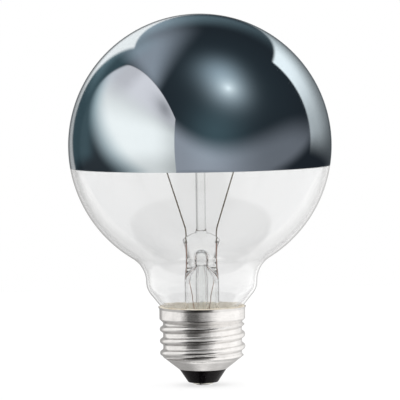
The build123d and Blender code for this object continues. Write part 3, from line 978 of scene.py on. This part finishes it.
# White wall behind on the left: across_wall is the distance to the side, wall_rise the height
WALL_LOW_EDGE = (0.43, -0.6)
WALL_HIGH_EDGE = (-0.36, -0.34)
WALL_TOP = 0.28
WALL_TOP_SLOPE = 1.2
DIM_SIDE_LIGHT = 0.064
back = graph.math("MAXIMUM", y, LEAST_PART)
across_wall = graph.math("DIVIDE", x, back)
wall_rise = graph.math("DIVIDE", z, back)
wall_side = graph.math(
    "MINIMUM",
    graph.add(graph.times(wall_rise, WALL_LOW_EDGE[0]), WALL_LOW_EDGE[1]),
    graph.add(graph.times(wall_rise, WALL_HIGH_EDGE[0]), WALL_HIGH_EDGE[1]),
)
over_wall = graph.add(wall_rise, graph.times(across_wall, WALL_TOP_SLOPE), -WALL_TOP)
wall_shape = graph.times(
    graph.ramp(y, 0.0, 0.1),
    graph.ramp(graph.minus(across_wall, wall_side), -0.06, 0.06),
    graph.ramp(over_wall, -0.03, 0.03, 1.0, 0.0),
    graph.ramp(x, 0.1, 0.3, 1.0, 0.0),
)
wall_light = graph.times(
    wall_shape,
    graph.ramp(wall_rise, 0.12, 0.38, 0.45, 0.98),
    graph.ramp(y, 0.925, 0.97, 1.0, 0.4),
)
no_wall = graph.minus(1.0, wall_shape)
dim_side = graph.times(
    graph.ramp(x, -0.45, -0.25, 1.0, 0.0),
    graph.ramp(y, 0.2, 0.5),
    graph.ramp(z, -0.14, -0.02),
    no_wall,
    DIM_SIDE_LIGHT,
)

# Ceiling: a pale patch beside the softbox, and a faint rim behind
PATCH_EDGE = (-0.33, 0.5, -0.4)
PATCH_DEPTH = 0.7
up_part = graph.math("MAXIMUM", z, LEAST_PART)
ceiling_side = graph.math("DIVIDE", x, up_part)
ceiling_back = graph.math("DIVIDE", y, up_part)
patch_back = graph.math("MINIMUM", ceiling_back, PATCH_DEPTH)
patch_edge = graph.add(
    graph.times(patch_back, PATCH_EDGE[1]),
    graph.times(patch_back, patch_back, PATCH_EDGE[2]),
    PATCH_EDGE[0],
)
patch = graph.times(
    graph.ramp(z, 0.1, 0.3),
    graph.ramp(graph.minus(ceiling_side, patch_edge), -0.25, 0.25, 1.0, 0.0),
    graph.ramp(ceiling_side, -0.95, -0.6),
    graph.ramp(ceiling_back, 0.2, 1.0, 0.3, 0.2),
    graph.ramp(over_top, -0.02, 0.04),
    no_wall,
)
top_rim = graph.times(
    graph.ramp(y, 0.55, 0.9),
    graph.ramp(z, 0.22, 0.48),
    graph.ramp(x, -0.15, 0.4, 0.16, 0.05),
    no_wall,
)

# Strip light behind on the right, between two slanting planes
STRIP_FRONT = (-0.43, 1.0, -0.177)
STRIP_TOP = (1.02, 0.175, -1.0)
strip = graph.times(
    graph.ramp(x, 0.0, 0.1),
    graph.ramp(plane(STRIP_FRONT), -0.02, 0.03),
    graph.ramp(plane(STRIP_TOP), -0.02, 0.03),
    graph.ramp(z, -0.1, 0.13),
    graph.ramp(z, 0.1, 0.6, 0.43, 1.07),
    graph.ramp(y, 0.6, 0.97, 1.0, 0.5),
    graph.ramp(y, 0.93, 0.975, 1.0, 0.5),
)

# Round lamp high in front with its halo, and a faint glow straight in front
LAMP_WAY = (0.385, -0.546, 0.745)
HALO_WAYS = ((0.25, -0.37, 0.905), (0.4, -0.574, 0.73))
HAZE_WAY = (0.346, -0.469, 0.812)
FRONT_WAY = (0.24, -0.96, 0.16)
CORE_REACH = 0.1
CORE_LIGHT = 0.75
HALO_REACH = 0.27
HALO_LIGHT = 0.25
HAZE_REACH = 1.1
HAZE_LIGHT = 0.018
FRONT_REACH = 0.42
FRONT_LIGHT = 0.066
SOFT_EDGE = 2.0
lamp_core = graph.times(glow(LAMP_WAY, CORE_REACH), CORE_LIGHT)
halo_glows = [glow(halo_way, HALO_REACH, SOFT_EDGE) for halo_way in HALO_WAYS]
lamp_halo = graph.times(graph.add(*halo_glows), HALO_LIGHT)
lamp_haze = graph.times(glow(HAZE_WAY, HAZE_REACH, SOFT_EDGE), HAZE_LIGHT)
front_glow = graph.times(glow(FRONT_WAY, FRONT_REACH, SOFT_EDGE), FRONT_LIGHT)

# Grey room in front and on the right, up to the height of a bent line
ROOM_LINE = (-0.02, 0.45, -0.62)
ROOM_FLOOR = (0.0, -0.54, 1.0)
ROOM_FLOOR_DROP = 0.168
room_line = graph.add(
    z, graph.times(x, ROOM_LINE[1]), graph.times(x, x, ROOM_LINE[2]), ROOM_LINE[0]
)
front_room = graph.times(
    graph.ramp(room_line, -0.2, 0.18, 1.0, 0.0),
    graph.ramp(x, -0.45, -0.36),
    graph.ramp(plane(ROOM_FLOOR, ROOM_FLOOR_DROP), -0.1, 0.1),
    graph.ramp(x, -0.3, 0.1, 0.88, 1.0),
    graph.ramp(x, 0.1, 0.95, 0.35, 0.15),
    graph.ramp(z, -0.44, -0.36),
    graph.minus(1.0, box_shape),
)

# Pale sides that the clear glass reflects: side_back is the distance back on them
aside = graph.math("MAXIMUM", graph.math("ABSOLUTE", x), LEAST_PART)
side_back = graph.math("DIVIDE", y, aside)
pale_sides = graph.times(
    graph.ramp(z, -0.75, -0.68),
    graph.math("MAXIMUM", graph.ramp(aside, 0.3, 0.45), graph.ramp(y, 0.15, 0.45)),
    graph.ramp(side_back, 0.75, 1.5, 1.0, 0.5),
    graph.ramp(y, 0.93, 0.975, 1.0, 0.45),
    graph.ramp(x, -0.1, 0.1, 1.8, 2.2),
)
CLEAR_BASE = 0.2
clear_light = graph.add(pale_sides, CLEAR_BASE)

MIRROR_BASE = (0.014, 0.018, 0.024)
mirror_room = together(
    MIRROR_BASE,
    tinted(graph.times(box_light, graph.minus(1.0, box_high)), (0.95, 1.0, 1.0)),
    tinted(graph.times(box_light, box_high), (0.95, 0.96, 1.03)),
    tinted(graph.times(box_light, graph.minus(1.0, box_fade)), (-0.2, 0.0, 0.1)),
    tinted(wall_light, (0.95, 0.99, 1.0)),
    tinted(dim_side, (0.45, 0.9, 1.05)),
    tinted(patch, (0.86, 1.0, 1.17)),
    tinted(top_rim, (0.65, 1.0, 1.15)),
    tinted(strip, (0.89, 0.99, 1.03)),
    tinted(lamp_core, (0.93, 1.0, 1.0)),
    tinted(lamp_halo, (0.75, 1.0, 1.17)),
    tinted(lamp_haze, (0.5, 1.0, 1.2)),
    tinted(front_glow, (0.53, 1.0, 1.18)),
    tinted(front_room, (0.88, 0.97, 1.12)),
)

# What the pieces inside the globe and its far wall reflect
inner_light = graph.times(
    graph.ramp(y, 0.88, 0.985, 0.92, 0.25), graph.ramp(z, -0.9, -0.4, 0.8, 1.0)
)

# What the metal of the cap and the outside of the clear glass see: pale on both sides, dark in
# front on the left
CAP_BACK_LIGHT = 0.36
CAP_MIDDLE_LIGHT = 0.5
CAP_FLOOR_LIGHT = 0.95
CAP_BASE = (0.02, 0.019, 0.018)
CAP_TINT = (1.0, 0.985, 0.97)
heading = graph.math("ARCTAN2", x, graph.times(y, -1.0))


def turned_past(middle, soft, before=0.0, after=1.0):
    """Smooth step at a heading, in degrees from the camera to the right."""
    return graph.ramp(
        heading, math.radians(middle - soft), math.radians(middle + soft), before, after
    )


def sector(start, end, soft):
    """Share of light between two headings."""
    return graph.times(turned_past(start, soft), turned_past(end, soft, 1.0, 0.0))


cap_left = graph.times(sector(-138.0, -49.0, 10.0), graph.ramp(z, -0.45, -0.1, 0.5, 0.94))
cap_back = graph.times(turned_past(-138.0, 10.0, 1.0, 0.0), CAP_BACK_LIGHT)
cap_dark = graph.times(sector(-49.0, -3.0, 10.0), graph.ramp(z, -0.4, 0.5, 0.03, 0.45))
cap_middle = graph.times(sector(-3.0, 24.0, 12.0), CAP_MIDDLE_LIGHT)
cap_right = graph.times(
    turned_past(24.0, 12.0),
    graph.ramp(z, -0.5, -0.2, 0.92, 1.1),
    turned_past(127.5, 12.5, 1.0, 0.85),
    turned_past(153.0, 13.0, 1.0, 0.6),
)
low_front = graph.times(sector(-68.0, 45.0, 12.0), graph.ramp(z, -0.35, -0.12, 0.92, 0.0))
cap_sides = graph.times(
    graph.add(cap_left, cap_back, cap_dark, cap_middle, cap_right), graph.minus(1.0, low_front)
)
floor_share = graph.times(graph.ramp(z, -0.95, -0.85, 1.0, 0.0), graph.ramp(y, 0.0, 0.16))
cap_light = graph.add(
    graph.times(cap_sides, graph.minus(1.0, floor_share)), graph.times(floor_share, CAP_FLOOR_LIGHT)
)
cap_room = together(CAP_BASE, tinted(cap_light, CAP_TINT))

# White for the camera and through clear glass, and plain light for matt surfaces, with more of
# it where it reaches them through glass, which takes some away. Seen through the stem's glass
# the sides are darker. Reflections show a room: the mirror and the glass over it are without
# any dullness, which tells them from the clear glass.
STEM_DEPTH = 5
INSIDE_DEPTH = 4
BEHIND_GLASS_LIGHT = 0.3
WHITE = (1.0, 1.0, 1.0)
path = graph.node("ShaderNodeLightPath")


def at_least(kind, count):
    """1 for rays with a number of bounces of a kind or more."""
    return graph.math("GREATER_THAN", path.outputs[kind + " Depth"], count - 0.5)


reflected = at_least("Glossy", 1)
reflected_again = at_least("Glossy", 2)
scattered = at_least("Diffuse", 1)
passed = at_least("Transmission", 1)
inside = at_least("Transmission", INSIDE_DEPTH)
through_stem = at_least("Transmission", STEM_DEPTH)
sharp = path.outputs["Is Singular Ray"]
dull = graph.minus(1.0, sharp)
outside = graph.minus(1.0, inside)
unscattered = graph.minus(1.0, scattered)
groove_shade = graph.times(reflected_again, turned_past(10.0, 30.0, 0.45, 0.1))
groove_share = graph.minus(1.0, groove_shade)
seen_room = together(
    tinted(graph.times(outside, sharp), mirror_room),
    tinted(graph.times(outside, dull, passed, clear_light), WHITE),
    tinted(graph.times(dull, graph.minus(1.0, passed), groove_share), cap_room),
    tinted(graph.times(inside, inner_light), WHITE),
)
in_room = graph.times(reflected, unscattered)
side_shade = graph.add(
    graph.ramp(x, -0.75, -0.4, 0.25, 0.0), graph.ramp(x, 0.3, 0.65, 0.0, 0.5)
)
plain_light = graph.add(
    1.0,
    graph.times(scattered, inside, BEHIND_GLASS_LIGHT),
    graph.times(through_stem, unscattered, side_shade, -1.0),
)
light = together(
    tinted(in_room, seen_room),
    tinted(graph.times(plain_light, graph.minus(1.0, in_room)), WHITE),
)
background = graph.node("ShaderNodeBackground")
graph.feed(background.inputs["Color"], light)
output = graph.node("ShaderNodeOutputWorld")
graph.tree.links.new(background.outputs[0], output.inputs["Surface"])

# Camera
SENSOR_WIDTH = 36.0
NEAR_END = 0.01
camera_data = bpy.data.cameras.new("camera")
camera_data.lens = CAMERA_LENS
camera_data.sensor_width = SENSOR_WIDTH
camera_data.clip_start = NEAR_END
camera = bpy.data.objects.new("camera", camera_data)
bpy.context.scene.collection.objects.link(camera)
camera.location = Vector(CAMERA_PLACE) * MM
aim = (Vector(CAMERA_AIM) - Vector(CAMERA_PLACE)).to_track_quat("-Z", "Y")
camera.rotation_mode = "QUATERNION"
camera.rotation_quaternion = aim @ Quaternion((0, 0, 1), math.radians(-CAMERA_ROLL))
bpy.context.scene.camera = camera

# Enough bounces for a ray through all the glass, and no blur of what lies behind it
GLASS_BOUNCES = 40
GLOSS_BOUNCES = 12
scene = bpy.context.scene
scene.view_settings.view_transform = "Standard"
scene.cycles.max_bounces = GLASS_BOUNCES
scene.cycles.transmission_bounces = GLASS_BOUNCES
scene.cycles.glossy_bounces = GLOSS_BOUNCES
scene.cycles.blur_glossy = 0.0
